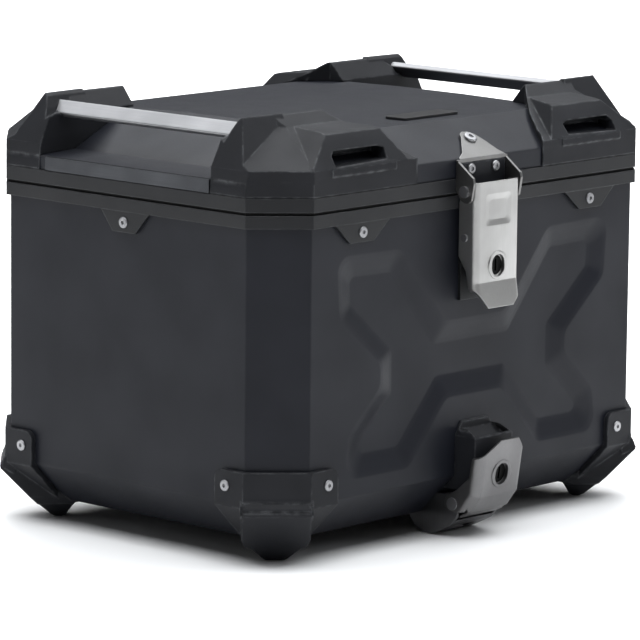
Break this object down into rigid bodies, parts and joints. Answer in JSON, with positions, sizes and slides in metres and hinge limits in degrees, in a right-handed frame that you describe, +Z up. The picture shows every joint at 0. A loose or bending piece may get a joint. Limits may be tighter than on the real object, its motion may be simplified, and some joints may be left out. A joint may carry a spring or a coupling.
{
  "type": "motorcycle top case",
  "caption": "Hard top case with a bevelled aluminium tray, hinged lid with moulded corners and carry bars, front lever latch and rack latch.",
  "frame": {"origin": "middle of the overall bounding box in X and Y, on the plane the four corner feet stand on", "axes": "+X to the right facing the latches, +Y from the latches to the hinge, +Z up"},
  "size_m": [0.4174, 0.3356, 0.3091],
  "materials": {
    "coated_aluminium": "satin black coating on aluminium sheet",
    "rim_coating": "satin black coating",
    "moulded_nylon": "grained",
    "gasket_rubber": "matt",
    "anodised_bar": "satin anodised",
    "trim_metal": "brushed",
    "stainless": "brushed",
    "fastener_steel": "satin",
    "badge": "satin",
    "lock_brass": "nickel plated",
    "dark_steel": "black zinc"
  },
  "bodies": {
    "case_body": {"body_shell": "coated_aluminium", "body_rim": "rim_coating", "rim_rivets": "fastener_steel", "seam_gasket": "gasket_rubber", "corner_protector_front_left": "moulded_nylon", "corner_protector_front_right": "moulded_nylon", "corner_protector_rear_left": "moulded_nylon", "corner_protector_rear_right": "moulded_nylon", "protector_rivets": "fastener_steel", "latch_keeper": "dark_steel", "keeper_rivets": "fastener_steel", "rack_latch_housing": "moulded_nylon", "housing_rivets": "fastener_steel", "rack_latch_bracket": "dark_steel", "rack_latch_pin": "fastener_steel", "hinge_leaves_lower": "dark_steel", "hinge_pins": "fastener_steel", "hinge_rivets_lower": "fastener_steel", "base_plate": "dark_steel", "base_screws": "fastener_steel"},
    "lid": {"lid_shell": "coated_aluminium", "lid_rim": "rim_coating", "corner_cover_front_left": "moulded_nylon", "corner_cover_front_right": "moulded_nylon", "corner_cover_rear_left": "moulded_nylon", "corner_cover_rear_right": "moulded_nylon", "handle_bar_left": "anodised_bar", "handle_bar_right": "anodised_bar", "side_trim_left": "trim_metal", "side_trim_right": "trim_metal", "badge_plate": "badge", "lid_latch_bracket": "stainless", "latch_bracket_pad": "moulded_nylon", "lid_bracket_screws": "fastener_steel", "latch_pivot_pin": "fastener_steel", "hinge_leaves_upper": "dark_steel", "hinge_rivets_upper": "fastener_steel"},
    "latch_lever_body": {"latch_lever": "stainless", "latch_link_pin": "fastener_steel"},
    "latch_link_body": {"latch_link": "stainless"},
    "latch_barrel": {"latch_lock_barrel": "lock_brass"},
    "rack_lever_body": {"rack_latch_lever": "stainless"},
    "rack_barrel": {"rack_lock_barrel": "lock_brass"}
  },
  "joints": [
    {"name": "lid_hinge", "type": "hinge", "parent": "case_body", "child": "lid", "pos_m": [0, 0.1642, 0.2465], "axis": [-1, 0, 0], "range_deg": [0, 100]},
    {"name": "latch_lever", "type": "hinge", "parent": "lid", "child": "latch_lever_body", "pos_m": [0, -0.149, 0.2489], "axis": [-1, 0, 0], "range_deg": [0, 80]},
    {"name": "latch_link", "type": "hinge", "parent": "latch_lever_body", "child": "latch_link_body", "pos_m": [0, -0.1468, 0.216], "axis": [1, 0, 0], "range_deg": [0, 56]},
    {"name": "rack_latch_lever", "type": "hinge", "parent": "case_body", "child": "rack_lever_body", "pos_m": [0, -0.1403, 0.0255], "axis": [1, 0, 0], "range_deg": [0, 60]},
    {"name": "latch_barrel_turn", "type": "hinge", "parent": "latch_lever_body", "child": "latch_barrel", "pos_m": [0, -0.1578, 0.1956], "axis": [0, -1, 0], "range_deg": [0, 90]},
    {"name": "rack_barrel_turn", "type": "hinge", "parent": "rack_lever_body", "child": "rack_barrel", "pos_m": [0, -0.1641, 0.0474], "axis": [0, -0.9889, -0.1483], "range_deg": [0, 90]}
  ],
  "couplings": [
    {"joint": "latch_link", "follows": "latch_lever", "ratio": 0.6}
  ]
}
